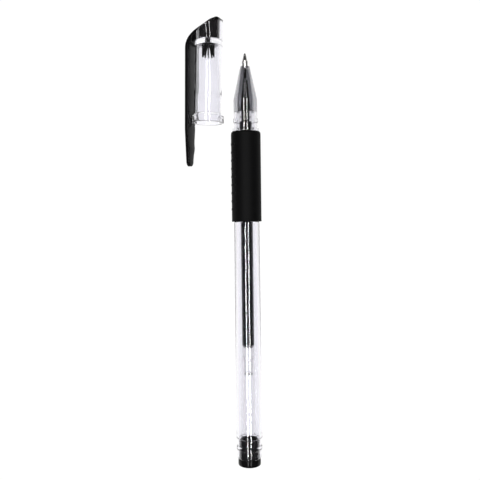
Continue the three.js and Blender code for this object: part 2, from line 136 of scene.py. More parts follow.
# ---------------------------------------------------------------------------------------
# Barrel. One clear polystyrene tube: a neck under the grip, a long body with a slight
# draft, a stop ring, and a reduced rear end with a ring that the posted cap clicks over.
# Setbacks, here and below, are millimetres back from the front of the writing ball.
# ---------------------------------------------------------------------------------------
def rounded(corners, closed=True, steps=5):
    """Rounds a line's corners. Each corner is (radius, setback, fillet) in millimetres. A fillet is an
    arc tangent to both sides, which starts fillet / tan(half the corner's angle) away from it."""
    points = [np.array(corner[:2], float) for corner in corners]
    line = []
    for i, point in enumerate(points):
        fillet = corners[i][2] if len(corners[i]) > 2 else 0
        if not fillet or (not closed and i in (0, len(points) - 1)):
            line.append(point)
            continue
        before, after = points[i - 1] - point, points[(i + 1) % len(points)] - point
        length_before, length_after = np.linalg.norm(before), np.linalg.norm(after)
        before, after = before / length_before, after / length_after
        half = np.arccos(np.clip(before @ after, -1, 1)) / 2
        reach = min(fillet / np.tan(half), 0.49 * length_before, 0.49 * length_after)
        middle = before + after
        middle = middle / np.linalg.norm(middle) * reach / np.cos(half)
        spokes = [before * reach - middle, after * reach - middle]
        span = np.arccos(np.clip(spokes[0] @ spokes[1] / (spokes[0] @ spokes[0]), -1, 1))
        for share in np.linspace(0, 1, steps):
            mix = np.sin((1 - share) * span) * spokes[0] + np.sin(share * span) * spokes[1]
            line.append(point + middle + mix / np.sin(span))
    return np.array(line)


def put_mesh(name, points, quads, crease=32):
    """A mesh object from a point array and a quad array. Quads with a repeated corner become
    triangles, and the faces are turned outwards by the sign of the volume they hold."""
    a, b, c, d = (points[quads[:, k]] for k in range(4))
    held = np.einsum("ij,ij->i", a, np.cross(b, c)) + np.einsum("ij,ij->i", a, np.cross(c, d))
    if held.sum() < 0:
        quads = quads[:, ::-1]
    faces = [list(dict.fromkeys(face)) for face in quads.tolist()]
    mesh = bpy.data.meshes.new(name)
    mesh.from_pydata(points.tolist(), [], [face for face in faces if len(face) > 2])
    mesh.shade_smooth()
    mesh.set_sharp_from_angle(angle=radians(crease))
    piece = bpy.data.objects.new(name, mesh)
    bpy.context.collection.objects.link(piece)
    return piece


def grid_quads(rows, columns, wrap_rows=False):
    """Corner numbers of the quads of a grid whose columns close on themselves."""
    i, j = np.meshgrid(np.arange(rows if wrap_rows else rows - 1), np.arange(columns), indexing="ij")
    i_next, j_next = (i + 1) % rows, (j + 1) % columns
    quads = [i * columns + j, i * columns + j_next, i_next * columns + j_next, i_next * columns + j]
    return np.stack(quads, axis=-1).reshape(-1, 4)


def turned(name, line, around=96, closed=True, crease=32):
    """A surface of revolution about the pen's axis: point (i, j) stands radius_i from the axis in
    the direction of angle_j, at setback_i. An open line starts and ends on the axis, in one point."""
    angle = np.arange(around) * 2 * pi / around
    radius, setback = line[:, 0, None] * MM, line[:, 1, None] * MM
    x = PEN_X + radius * np.sin(angle)
    y = BALL_FRONT - setback + 0 * angle
    z = PEN_Z + radius * np.cos(angle)
    points = np.stack([x, y, z], axis=-1).reshape(-1, 3)
    quads = grid_quads(len(line), around, closed)
    if not closed:
        last = (len(line) - 1) * around
        quads = np.where(quads < around, 0, quads)
        quads = np.where(quads >= last, last, quads)
        used, quads = np.unique(quads, return_inverse=True)
        points, quads = points[used], quads.reshape(-1, 4)
    return put_mesh(name, points, quads, crease)


def nodes_of(name):
    """A new material with its node tree's main parts: (material, nodes, links, Principled shader)."""
    material = bpy.data.materials.new(name)
    material.use_nodes = True
    tree = material.node_tree
    return material, tree.nodes, tree.links, tree.nodes["Principled BSDF"]


def clear_moulding(name, colour, ior, roughness, flow, painted_shade=None):
    """Clear plastic: glass that bends light, a little duller in streaks drawn out along the pen, which
    lets lamps shine through instead of shading what is under it. flow is the streaks per metre. The
    last argument is a darker colour and the place along Y past which a thick wall has it: painted
    shade, standing in for the dark that a thick clear wall bends and reflects into view."""
    material, nodes, links, shader = nodes_of(name)
    shader.inputs["Base Color"].default_value = (*colour, 1)
    shader.inputs["Transmission Weight"].default_value = 1
    shader.inputs["IOR"].default_value = ior
    place = nodes.new("ShaderNodeTexCoord")
    stretch = nodes.new("ShaderNodeMapping")
    stretch.inputs["Scale"].default_value = (1, 0.08, 1)
    waves = nodes.new("ShaderNodeTexNoise")
    waves.inputs["Scale"].default_value = flow
    waves.inputs["Detail"].default_value = 2
    smear = nodes.new("ShaderNodeMapRange")
    smear.inputs["From Min"].default_value = 0.35
    smear.inputs["From Max"].default_value = 0.75
    smear.inputs["To Min"].default_value = roughness
    smear.inputs["To Max"].default_value = roughness * 2.5
    links.new(place.outputs["Object"], stretch.inputs["Vector"])
    links.new(stretch.outputs["Vector"], waves.inputs["Vector"])
    links.new(waves.outputs["Fac"], smear.inputs["Value"])
    links.new(smear.outputs["Result"], shader.inputs["Roughness"])
    # Past a place along Y the colour turns darker: painted shade in a thick clear wall.
    if painted_shade:
        painted_shade_colour, painted_shade_start = painted_shade
        along = nodes.new("ShaderNodeSeparateXYZ")
        depth = nodes.new("ShaderNodeMapRange")
        depth.inputs["From Min"].default_value = painted_shade_start
        depth.inputs["From Max"].default_value = painted_shade_start + 0.1 * MM
        tint = nodes.new("ShaderNodeValToRGB")
        tint.color_ramp.elements[0].color = (*colour, 1)
        tint.color_ramp.elements[1].color = (*painted_shade_colour, 1)
        links.new(place.outputs["Object"], along.inputs["Vector"])
        links.new(along.outputs["Y"], depth.inputs["Value"])
        links.new(depth.outputs["Result"], tint.inputs["Fac"])
        links.new(tint.outputs["Color"], shader.inputs["Base Color"])
    ray = nodes.new("ShaderNodeLightPath")
    open_air = nodes.new("ShaderNodeBsdfTransparent")
    open_air.inputs["Color"].default_value = (0.96, 0.96, 0.97, 1)
    mix = nodes.new("ShaderNodeMixShader")
    links.new(ray.outputs["Is Shadow Ray"], mix.inputs["Fac"])
    links.new(shader.outputs["BSDF"], mix.inputs[1])
    links.new(open_air.outputs["BSDF"], mix.inputs[2])
    links.new(mix.outputs["Shader"], nodes["Material Output"].inputs["Surface"])
    return material


FIT_GAP = 0.03
NECK_RADIUS = 3.95
BARREL_BORE = 3.45
BARREL_FRONT_RADIUS = 4.3
BARREL_REAR_RADIUS = 4.5
STOP_RING_RADIUS = 4.55
STOP_RING_WIDTH = 1.4
POST_RADIUS = 4.17
POST_LENGTH = 7.1
POST_RING_RADIUS = 4.42
POST_RING_WIDTH = 1.4
POST_RING_AHEAD = 4.2
front = (BALL_FRONT - barrel_high[1]) / MM
rear = (BALL_FRONT - barrel_low[1]) / MM
grip_rear = (BALL_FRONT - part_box("grip_sleeve")[0][1]) / MM
post_front = rear - POST_LENGTH
post_ring = post_front + POST_RING_AHEAD
barrel_line = rounded([
    (POST_RADIUS, rear, 0.25),
    (POST_RADIUS, post_ring, 0.15),
    (POST_RING_RADIUS, post_ring - 0.3, 0.3),
    (POST_RING_RADIUS, post_ring - POST_RING_WIDTH + 0.3, 0.3),
    (POST_RADIUS, post_ring - POST_RING_WIDTH, 0.15),
    (POST_RADIUS, post_front, 0.15),
    (STOP_RING_RADIUS, post_front, 0.12),
    (STOP_RING_RADIUS, post_front - STOP_RING_WIDTH, 0.12),
    (BARREL_REAR_RADIUS, post_front - STOP_RING_WIDTH - 0.15, 0.1),
    (BARREL_FRONT_RADIUS, grip_rear + FIT_GAP, 0.2),
    (NECK_RADIUS, grip_rear + FIT_GAP, 0.1),
    (NECK_RADIUS, front, 0.1),
    (BARREL_BORE, front, 0.1),
    (BARREL_BORE, rear, 0.15),
])
barrel = turned("barrel_shell", barrel_line, around=128)
crystal = clear_moulding("clear_polystyrene", (0.935, 0.93, 0.965), 1.57, 0.012, 90)
barrel.data.materials.append(crystal)
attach(barrel, "pen")
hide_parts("barrel")


# ---------------------------------------------------------------------------------------
# Nose cone. A clear moulding that screws into the barrel's front: thick round the tip
# holder, thin behind it, with a snap ring that holds the cap and a flange at its back.
# ---------------------------------------------------------------------------------------
NOSE_FACE_RADIUS = 1.6
NOSE_RADIUS = 4.03
NOSE_TAPER = 11.2
NOSE_THIN_BORE = 3.18
HOLDER_BORE = 2.58
POINT_BORE = 1.11
SNAP_RING_RADIUS = 4.3
SNAP_RING_WIDTH = 1.6
SNAP_RING_AHEAD = 2.8
FLANGE_RADIUS = 4.54
FLANGE_THICKNESS = 1.0
SPIGOT_RADIUS = 3.42
SPIGOT_BORE = 2.67
SPIGOT_LENGTH = 7.0
THICK_WALL = 15.2
POINT_SEAT = 0.9
face = (BALL_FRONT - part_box("nose_cone")[1][1]) / MM
flange_back = front - FIT_GAP
flange_front = flange_back - FLANGE_THICKNESS
ring = flange_front - SNAP_RING_AHEAD
thick_end = face + THICK_WALL
holder_shoulder = face + NOSE_TAPER
spigot_end = flange_back + SPIGOT_LENGTH
nose_line = rounded([
    (SPIGOT_RADIUS, spigot_end, 0.2),
    (SPIGOT_RADIUS, flange_back, 0.05),
    (FLANGE_RADIUS, flange_back, 0.12),
    (FLANGE_RADIUS, flange_front, 0.15),
    (NOSE_RADIUS, flange_front, 0.12),
    (NOSE_RADIUS, ring + SNAP_RING_WIDTH / 2, 0.15),
    (SNAP_RING_RADIUS, ring + SNAP_RING_WIDTH / 4, 0.4),
    (SNAP_RING_RADIUS, ring - SNAP_RING_WIDTH / 4, 0.4),
    (NOSE_RADIUS, ring - SNAP_RING_WIDTH / 2, 0.15),
    (NOSE_RADIUS, holder_shoulder, 2.0),
    (NOSE_FACE_RADIUS, face, 0.15),
    (POINT_BORE, face, 0.05),
    (POINT_BORE, face + POINT_SEAT, 0.05),
    (POINT_BORE + 0.3, face + POINT_SEAT + 0.3, 0.1),
    (HOLDER_BORE, holder_shoulder, 2.0),
    (HOLDER_BORE, thick_end, 0.1),
    (NOSE_THIN_BORE, thick_end, 0.2),
    (NOSE_THIN_BORE, flange_back, 0.1),
    (SPIGOT_BORE, flange_back, 0.1),
    (SPIGOT_BORE, spigot_end, 0.1),
])
nose = turned("nose_shell", nose_line, around=128)
# The thick front wall is tinted darker: painted shade, standing in for the dark that this wall bends and
# reflects into view.
painted_shade_glass = clear_moulding("polystyrene_painted_shade", (0.86, 0.855, 0.885), 1.57, 0.012, 90,
                       painted_shade=((0.42, 0.42, 0.44), BALL_FRONT - thick_end * MM))
nose.data.materials.append(painted_shade_glass)
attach(nose, "nose")
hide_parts("nose_cone")


# ---------------------------------------------------------------------------------------
# Grip sleeve. A soft black rubber tube stretched over the barrel's neck, smooth on top,
# with ten columns of small round dots moulded down its sides and its underside.
# ---------------------------------------------------------------------------------------
GRIP_RADIUS = 5.15
GRIP_SKIN = 5.05
GRIP_BORE = 3.98
DOT_RADIUS = 0.45
DOT_PITCH = 2.76
DOT_ROWS = 9
DOT_FIRST = 4.2
DOT_COLUMNS = 10
FIRST_COLUMN = -42
COLUMN_STEP = 24
FRONT_ROLL = 0.9
REAR_ROLL = 0.45
REAR_BEAD = 0.06


def grip_mesh(name, around=360, along=300):
    """The sleeve's outside is a turned surface, raised at each dot by a dome, height times
    sqrt(1 - (d / radius)^2), where d is the distance over the skin to the dot's middle. The
    ends and the bore are turned plain."""
    setback = np.linspace(front + FRONT_ROLL, grip_rear - REAR_ROLL, along)
    outside = np.stack([np.full(along, GRIP_SKIN), setback], axis=-1)
    front_end = rounded([
        (GRIP_BORE, grip_rear, 0.1),
        (GRIP_BORE, front, 0.1),
        (GRIP_SKIN - 0.12, front, 0.75),
        (GRIP_SKIN, front + FRONT_ROLL, 0.3),
    ], closed=False, steps=8)[1:-1]
    rear_end = rounded([
        (GRIP_SKIN, grip_rear - REAR_ROLL, 0),
        (GRIP_SKIN + REAR_BEAD, grip_rear - 0.3, 0.1),
        (GRIP_SKIN - REAR_BEAD, grip_rear, 0.18),
        (GRIP_BORE, grip_rear, 0.1),
    ], closed=False, steps=5)[1:]
    line = np.concatenate([front_end, outside, rear_end])
    angle = np.arange(around) * 2 * pi / around
    lift = np.zeros((len(line), around))
    outer = np.abs(line[:, 0] - GRIP_SKIN) < 1e-6
    for column in range(DOT_COLUMNS):
        turn = radians(FIRST_COLUMN - column * COLUMN_STEP)
        aside = (angle - turn + pi) % (2 * pi) - pi
        for row in range(DOT_ROWS):
            middle = front + DOT_FIRST + row * DOT_PITCH
            apart = np.hypot(aside[None, :] * GRIP_SKIN, line[:, 1, None] - middle)
            dome = np.clip(1 - (apart / DOT_RADIUS) ** 2, 0, 1)
            lift += outer[:, None] * (GRIP_RADIUS - GRIP_SKIN) * dome ** 0.5
    radius = (line[:, 0, None] + lift) * MM
    x = PEN_X + radius * np.sin(angle)
    y = BALL_FRONT - line[:, 1, None] * MM + 0 * angle
    z = PEN_Z + radius * np.cos(angle)
    points = np.stack([x, y, z], axis=-1).reshape(-1, 3)
    return put_mesh(name, points, grid_quads(len(line), around, True), crease=50)


grip = grip_mesh("grip_rubber_sleeve")
rubber, nodes, links, shader = nodes_of("moulded_rubber")
shader.inputs["Specular IOR Level"].default_value = 0.055
place = nodes.new("ShaderNodeTexCoord")
grain = nodes.new("ShaderNodeTexNoise")
grain.inputs["Scale"].default_value = 9000
grain.inputs["Detail"].default_value = 3
blotch = nodes.new("ShaderNodeTexNoise")
blotch.inputs["Scale"].default_value = 400
blotch.inputs["Detail"].default_value = 4
tone = nodes.new("ShaderNodeValToRGB")
tone.color_ramp.elements[0].color = (0.0012, 0.0012, 0.0014, 1)
tone.color_ramp.elements[1].color = (0.0028, 0.0028, 0.003, 1)
shine = nodes.new("ShaderNodeMapRange")
shine.inputs["To Min"].default_value = 0.5
shine.inputs["To Max"].default_value = 0.62
bump = nodes.new("ShaderNodeBump")
bump.inputs["Strength"].default_value = 0.35
bump.inputs["Distance"].default_value = 0.012 * MM
links.new(place.outputs["Object"], grain.inputs["Vector"])
links.new(place.outputs["Object"], blotch.inputs["Vector"])
links.new(blotch.outputs["Fac"], tone.inputs["Fac"])
links.new(tone.outputs["Color"], shader.inputs["Base Color"])
links.new(blotch.outputs["Fac"], shine.inputs["Value"])
links.new(shine.outputs["Result"], shader.inputs["Roughness"])
links.new(grain.outputs["Fac"], bump.inputs["Height"])
links.new(bump.outputs["Normal"], shader.inputs["Normal"])
grip.data.materials.append(rubber)
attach(grip, "pen")
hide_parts("grip_sleeve")


# ---------------------------------------------------------------------------------------
# Rear plug. A glossy black polystyrene cup pushed into the barrel's rear, with a flange
# that closes the end and a small vent that lets air in behind the ink.
# ---------------------------------------------------------------------------------------
def black_moulding(name, grey, roughness):
    """Glossy black plastic: nearly black, with faint flow marks in its gloss and in its surface."""
    material, nodes, links, shader = nodes_of(name)
    shader.inputs["Specular IOR Level"].default_value = 0.08
    place = nodes.new("ShaderNodeTexCoord")
    flow = nodes.new("ShaderNodeTexNoise")
    flow.inputs["Scale"].default_value = 350
    flow.inputs["Detail"].default_value = 5
    tone = nodes.new("ShaderNodeValToRGB")
    tone.color_ramp.elements[0].color = (grey * 0.8, grey * 0.75, grey * 0.8, 1)
    tone.color_ramp.elements[1].color = (grey * 1.2, grey * 1.1, grey * 1.2, 1)
    shine = nodes.new("ShaderNodeMapRange")
    shine.inputs["To Min"].default_value = roughness * 0.7
    shine.inputs["To Max"].default_value = roughness * 1.3
    bump = nodes.new("ShaderNodeBump")
    bump.inputs["Strength"].default_value = 0.04
    bump.inputs["Distance"].default_value = 0.02 * MM
    links.new(place.outputs["Object"], flow.inputs["Vector"])
    links.new(flow.outputs["Fac"], tone.inputs["Fac"])
    links.new(tone.outputs["Color"], shader.inputs["Base Color"])
    links.new(flow.outputs["Fac"], shine.inputs["Value"])
    links.new(shine.outputs["Result"], shader.inputs["Roughness"])
    links.new(flow.outputs["Fac"], bump.inputs["Height"])
    links.new(bump.outputs["Normal"], shader.inputs["Normal"])
    return material


PLUG_FLANGE_RADIUS = 3.92
PLUG_BODY_RADIUS = 3.42
PLUG_BORE = 2.52
PLUG_BODY = 6.8
PLUG_FLANGE = 2.5
VENT_RADIUS = 0.5
plug_face = rear + FIT_GAP
plug_line = rounded([
    (PLUG_FLANGE_RADIUS, plug_face + PLUG_FLANGE, 0.35),
    (PLUG_FLANGE_RADIUS, plug_face, 0.1),
    (PLUG_BODY_RADIUS, plug_face, 0.05),
    (PLUG_BODY_RADIUS, plug_face - PLUG_BODY, 0.3),
    (PLUG_BORE, plug_face - PLUG_BODY, 0.2),
    (PLUG_BORE, plug_face, 0.3),
    (VENT_RADIUS, plug_face, 0.1),
    (VENT_RADIUS, plug_face + PLUG_FLANGE, 0.15),
])
plug = turned("rear_plug_cup", plug_line)
black_gloss = black_moulding("black_polystyrene", 0.004, 0.12)
plug.data.materials.append(black_gloss)
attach(plug, "pen")
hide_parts("rear_plug")


# ---------------------------------------------------------------------------------------
# Refill tube. A thin extruded polypropylene tube, clear but a little waxy, cut square.
# ---------------------------------------------------------------------------------------
TUBE_RADIUS = 2.07
TUBE_BORE = 1.45
tube_low, tube_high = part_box("refill_tube")
tube_front = (BALL_FRONT - tube_high[1]) / MM
tube_rear = (BALL_FRONT - tube_low[1]) / MM
tube_line = rounded([
    (TUBE_RADIUS, tube_rear, 0.08),
    (TUBE_RADIUS, tube_front, 0.08),
    (TUBE_BORE, tube_front, 0.08),
    (TUBE_BORE, tube_rear, 0.08),
])
tube = turned("refill_clear_tube", tube_line)
waxy = clear_moulding("clear_polypropylene", (0.97, 0.97, 0.975), 1.49, 0.03, 140)
tube.data.materials.append(waxy)
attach(tube, "refill")
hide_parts("refill_tube")


# ---------------------------------------------------------------------------------------
# Ink. A column of black gel that fills the tube's bore behind the tip holder and ends in
# a domed surface. It shortens from the rear as the pen writes.
# ---------------------------------------------------------------------------------------
INK_RADIUS = 1.47
DOME = 1.1
ink_low, ink_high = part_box("ink_column")
ink_front = (BALL_FRONT - ink_high[1]) / MM
ink_rear = (BALL_FRONT - ink_low[1]) / MM
dome_share = np.linspace(0, 1, 9)[:, None] * pi / 2
dome = np.hstack([INK_RADIUS * np.sin(dome_share), ink_rear - DOME + DOME * np.cos(dome_share)])
along_ink = np.linspace(ink_rear - DOME, ink_front, 40)[1:]
sides = np.stack([np.full(len(along_ink), INK_RADIUS), along_ink], axis=-1)
ink_line = np.concatenate([dome, sides, [[0, ink_front]]])
ink = turned("ink_gel_column", ink_line, around=64, closed=False)
gel_black, nodes, links, shader = nodes_of("black_gel_ink")
shader.inputs["Specular IOR Level"].default_value = 0
place = nodes.new("ShaderNodeTexCoord")
cloud = nodes.new("ShaderNodeTexNoise")
cloud.inputs["Scale"].default_value = 600
tone = nodes.new("ShaderNodeValToRGB")
tone.color_ramp.elements[0].color = (0.003, 0.003, 0.0035, 1)
tone.color_ramp.elements[1].color = (0.008, 0.008, 0.009, 1)
links.new(place.outputs["Object"], cloud.inputs["Vector"])
links.new(cloud.outputs["Fac"], tone.inputs["Fac"])
links.new(tone.outputs["Color"], shader.inputs["Base Color"])
shader.inputs["Roughness"].default_value = 0.15
ink.data.materials.append(gel_black)
joints = {joint["name"]: joint for joint in frame["record"]["behaviour"]["joints"]}
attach(ink, "refill")
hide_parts("ink_column")
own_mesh(ink)


# ---------------------------------------------------------------------------------------
# Follower. A plug of clear grease behind the ink, hollow where it meets the ink's dome
# and slightly dished at its rear. It is drawn forwards as the ink is used.
# ---------------------------------------------------------------------------------------
GREASE_RADIUS = 1.42
DISH_DEPTH = 0.45
follower_rear = (BALL_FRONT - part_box("ink_follower")[0][1]) / MM
dish_line = follower_rear - DISH_DEPTH * np.cos(dome_share)
dish = np.hstack([GREASE_RADIUS * np.sin(dome_share), dish_line])
hollow = dome[::-1] + (0, FIT_GAP)
follower_line = np.concatenate([dish, hollow])
follower = turned("follower_grease", follower_line, around=64, closed=False)
grease = clear_moulding("clear_grease", (0.985, 0.98, 0.97), 1.46, 0.02, 500)
follower.data.materials.append(grease)
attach(follower, "follower")
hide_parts("ink_follower")


# ---------------------------------------------------------------------------------------
# Tip holder. A milky polypropylene moulding inside the nose: it tapers forward to hold
# the metal point, has a black ink channel, and plugs into the tube behind.
# ---------------------------------------------------------------------------------------
SHANK_BORE = 0.48
SHANK_END = 9.1
CHANNEL = 0.45
HOLDER_RADIUS = 2.5
HOLDER_FACE_RADIUS = 1.0
SPIGOT_DUCT = 1.1
INK_BITE = 0.02
holder_low, holder_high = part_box("tip_holder")
holder_face = (BALL_FRONT - holder_high[1]) / MM
holder_end = (BALL_FRONT - holder_low[1]) / MM
shank_bottom = SHANK_END + FIT_GAP
tube_stop = tube_front - FIT_GAP
holder_line = rounded([
    (TUBE_BORE - FIT_GAP, holder_end, 0.1),
    (TUBE_BORE - FIT_GAP, tube_stop, 0.05),
    (HOLDER_RADIUS, tube_stop, 0.15),
    (HOLDER_RADIUS, holder_shoulder, 2.0),
    (HOLDER_FACE_RADIUS + 0.3, holder_face + 0.3, 0.15),
    (HOLDER_FACE_RADIUS, holder_face, 0.1),
    (SHANK_BORE, holder_face, 0.05),
    (SHANK_BORE, shank_bottom, 0.05),
    (CHANNEL, shank_bottom, 0.05),
    (SPIGOT_DUCT, tube_stop, 0.1),
    (SPIGOT_DUCT, holder_end, 0.05),
])
holder = turned("tip_holder_moulding", holder_line)
milky, nodes, links, shader = nodes_of("milky_polypropylene")
shader.inputs["Transmission Weight"].default_value = 1
shader.inputs["IOR"].default_value = 1.49
place = nodes.new("ShaderNodeTexCoord")
haze = nodes.new("ShaderNodeTexNoise")
haze.inputs["Scale"].default_value = 900
haze.inputs["Detail"].default_value = 3
tone = nodes.new("ShaderNodeValToRGB")
tone.color_ramp.elements[0].color = (0.8, 0.8, 0.82, 1)
tone.color_ramp.elements[1].color = (0.92, 0.92, 0.94, 1)
soft = nodes.new("ShaderNodeMapRange")
soft.inputs["To Min"].default_value = 0.015
soft.inputs["To Max"].default_value = 0.035
links.new(place.outputs["Object"], haze.inputs["Vector"])
links.new(haze.outputs["Fac"], tone.inputs["Fac"])
links.new(tone.outputs["Color"], shader.inputs["Base Color"])
links.new(haze.outputs["Fac"], soft.inputs["Value"])
links.new(soft.outputs["Result"], shader.inputs["Roughness"])
holder.data.materials.append(milky)
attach(holder, "refill")
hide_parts("tip_holder")

channel_line = np.array([
    (0, holder_end),
    (SPIGOT_DUCT + INK_BITE, holder_end),
    (SPIGOT_DUCT + INK_BITE, tube_stop),
    (CHANNEL + INK_BITE, shank_bottom + INK_BITE),
    (0, shank_bottom + INK_BITE),
])
channel_ink = turned("ink_in_holder", channel_line, around=48, closed=False)
channel_ink.data.materials.append(gel_black)
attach(channel_ink, "refill")


# ---------------------------------------------------------------------------------------
# Metal point. Turned from nickel silver: a bell that narrows to the ball, a shoulder that
# fills the nose's hole, and a shank pressed into the holder.
# ---------------------------------------------------------------------------------------
POINT_RADIUS = 1.03
POINT_SHOULDER = 2.7
BELL_RADIUS = 0.9
WAIST_RADIUS = 0.51
WAIST = 0.95
LIP_OUTSIDE = 0.33
SOCKET_RADIUS = 0.27
SOCKET_MOUTH = 0.2
SOCKET_FLOOR = 0.58
THROAT_RADIUS = 0.125
SHANK_RADIUS = 0.45
DUCT_RADIUS = 0.25
shank_front = face + POINT_SEAT
point_line = rounded([
    (SHANK_RADIUS, SHANK_END, 0.1),
    (SHANK_RADIUS, shank_front, 0.03),
    (POINT_RADIUS, shank_front, 0.05),
    (POINT_RADIUS, POINT_SHOULDER, 0.12),
    (BELL_RADIUS, POINT_SHOULDER - 0.13, 0.12),
    (WAIST_RADIUS, WAIST, 0.6),
    (LIP_OUTSIDE, SOCKET_MOUTH, 0.02),
    (SOCKET_RADIUS, SOCKET_MOUTH, 0.01),
    (SOCKET_RADIUS, SOCKET_FLOOR, 0.02),
    (THROAT_RADIUS, SOCKET_FLOOR, 0.02),
    (THROAT_RADIUS, SOCKET_FLOOR + 0.25, 0.02),
    (DUCT_RADIUS, SOCKET_FLOOR + 0.67, 0.1),
    (DUCT_RADIUS, SHANK_END, 0.05),
], steps=6)
point = turned("metal_point", point_line)
turned_metal, nodes, links, shader = nodes_of("turned_nickel_silver")
shader.inputs["Metallic"].default_value = 1
place = nodes.new("ShaderNodeTexCoord")
rings = nodes.new("ShaderNodeTexNoise")
rings.noise_dimensions = "1D"
rings.inputs["Scale"].default_value = 30000
along = nodes.new("ShaderNodeSeparateXYZ")
tone = nodes.new("ShaderNodeValToRGB")
tone.color_ramp.elements[0].color = (0.5, 0.49, 0.48, 1)
tone.color_ramp.elements[1].color = (0.68, 0.67, 0.655, 1)
shine = nodes.new("ShaderNodeMapRange")
shine.inputs["To Min"].default_value = 0.16
shine.inputs["To Max"].default_value = 0.3
bump = nodes.new("ShaderNodeBump")
bump.inputs["Strength"].default_value = 0.3
bump.inputs["Distance"].default_value = 0.004 * MM
links.new(place.outputs["Object"], along.inputs["Vector"])
links.new(along.outputs["Y"], rings.inputs["W"])
# The shank, behind the shoulder, is coloured near-black: painted shade, so that it shows dark inside the
# holder and gives no reflection of the lamps.
inside = nodes.new("ShaderNodeMapRange")
inside.inputs["From Min"].default_value = BALL_FRONT - shank_front * MM
inside.inputs["From Max"].default_value = BALL_FRONT - (shank_front - 0.1) * MM
painted_dark_shank = nodes.new("ShaderNodeMix")
painted_dark_shank.data_type = "RGBA"
painted_dark_shank.inputs["A"].default_value = (0.0008, 0.0008, 0.001, 1)
links.new(along.outputs["Y"], inside.inputs["Value"])
links.new(inside.outputs["Result"], painted_dark_shank.inputs["Factor"])
links.new(rings.outputs["Fac"], tone.inputs["Fac"])
links.new(tone.outputs["Color"], painted_dark_shank.inputs["B"])
links.new(painted_dark_shank.outputs["Result"], shader.inputs["Base Color"])
links.new(rings.outputs["Fac"], shine.inputs["Value"])
links.new(shine.outputs["Result"], shader.inputs["Roughness"])
links.new(rings.outputs["Fac"], bump.inputs["Height"])
links.new(bump.outputs["Normal"], shader.inputs["Normal"])
point.data.materials.append(turned_metal)
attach(point, "refill")
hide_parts("tip_cone")


# ---------------------------------------------------------------------------------------
# Writing ball. A half-millimetre tungsten carbide ball that rolls in the point's mouth.
# ---------------------------------------------------------------------------------------
BALL_RADIUS = 0.25
arc = np.linspace(0, pi, 25)
ball_line = np.stack([BALL_RADIUS * np.sin(arc), BALL_RADIUS - BALL_RADIUS * np.cos(arc)], axis=-1)
ball = turned("carbide_ball", ball_line, around=40, closed=False)
carbide, nodes, links, shader = nodes_of("tungsten_carbide")
shader.inputs["Metallic"].default_value = 1
place = nodes.new("ShaderNodeTexCoord")
pits = nodes.new("ShaderNodeTexNoise")
pits.inputs["Scale"].default_value = 40000
tone = nodes.new("ShaderNodeValToRGB")
tone.color_ramp.elements[0].color = (0.2, 0.2, 0.21, 1)
tone.color_ramp.elements[1].color = (0.34, 0.34, 0.36, 1)
shader.inputs["Roughness"].default_value = 0.22
links.new(place.outputs["Object"], pits.inputs["Vector"])
links.new(pits.outputs["Fac"], tone.inputs["Fac"])
links.new(tone.outputs["Color"], shader.inputs["Base Color"])
ball.data.materials.append(carbide)
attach(ball, "ball")
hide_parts("writing_ball")


# ---------------------------------------------------------------------------------------
# Cap tube. A clear polystyrene sleeve with a thick lip at its mouth, two steps inside
# that grip the nose or the barrel's end, a shelf near the top, and a slanted upper rim.
# It has a frame of its own, turned on the table, with heights measured from the mouth.
# ---------------------------------------------------------------------------------------
CLIP_TOP_REACH = 7.67
CLIP_THICKNESS = 1.27
SHOULDER_HEIGHT = 27.0
hinge = joints["clip_flex"]
cap_y = np.array(joints["cap_slide"]["axis"], float)
cap_z = -np.array(hinge["axis"], float)
cap_x = np.cross(cap_y, cap_z)
cap_turn = np.stack([cap_x, cap_y, cap_z])
hinge_in_cap = np.array([-(CLIP_TOP_REACH - CLIP_THICKNESS / 2), SHOULDER_HEIGHT - 0.15, 0]) * MM
cap_origin = np.array(hinge["pos_m"], float) - hinge_in_cap @ cap_turn


def from_cap(points):
    """Row-frame places, in metres, of points given in millimetres in the cap's frame: Y along its
    axis from the mouth, X away from the clip."""
    return np.asarray(points) * MM @ cap_turn + cap_origin


CAP_RADIUS = 4.7
LIP_RADIUS = 5.575
LIP_HEIGHT = 2.3
SLANT_HEIGHT = 32.1
SLANT_RISE = 0.53
CAP_BORE = 3.8
MOUTH_BORE = 4.43
STEP_BORE = 4.15
STEP_EDGE = 4.07
STEP_START = 4.5
STEP_END = 9.4
TAPER_END = 13.0
SHELF_BOTTOM = 26.0
SHELF_TOP = 27.6
SHELF_HOLE = 0.75
cap_line = rounded([
    (MOUTH_BORE, 0, 0.25),
    (LIP_RADIUS, 0, 0.35),
    (LIP_RADIUS, LIP_HEIGHT, 0.5),
    (CAP_RADIUS, LIP_HEIGHT + 0.8, 0.6),
    (CAP_RADIUS, SLANT_HEIGHT, 0.35),
    (CAP_BORE, SLANT_HEIGHT, 0.1),
    (CAP_BORE, SHELF_TOP, 0.2),
    (SHELF_HOLE, SHELF_TOP, 0.1),
    (SHELF_HOLE, SHELF_BOTTOM, 0.1),
    (CAP_BORE, SHELF_BOTTOM, 0.2),
    (CAP_BORE, TAPER_END, 6),
    (STEP_EDGE, STEP_END, 0.02),
    (STEP_BORE, STEP_END, 0.05),
    (STEP_BORE, STEP_START, 6),
])
around = 128
angle = np.arange(around) * 2 * pi / around
radius, height = cap_line[:, 0, None], cap_line[:, 1, None]
slanted = height > SLANT_HEIGHT - 1
x = radius * np.cos(angle)
points = np.stack([x, height + slanted * SLANT_RISE * x, radius * np.sin(angle)], axis=-1)
sleeve_quads = grid_quads(len(cap_line), around, True)
cap_sleeve = put_mesh("cap_clear_sleeve", from_cap(points.reshape(-1, 3)), sleeve_quads)
cap_sleeve.data.materials.append(crystal)
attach(cap_sleeve, "cap")
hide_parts("cap_tube")


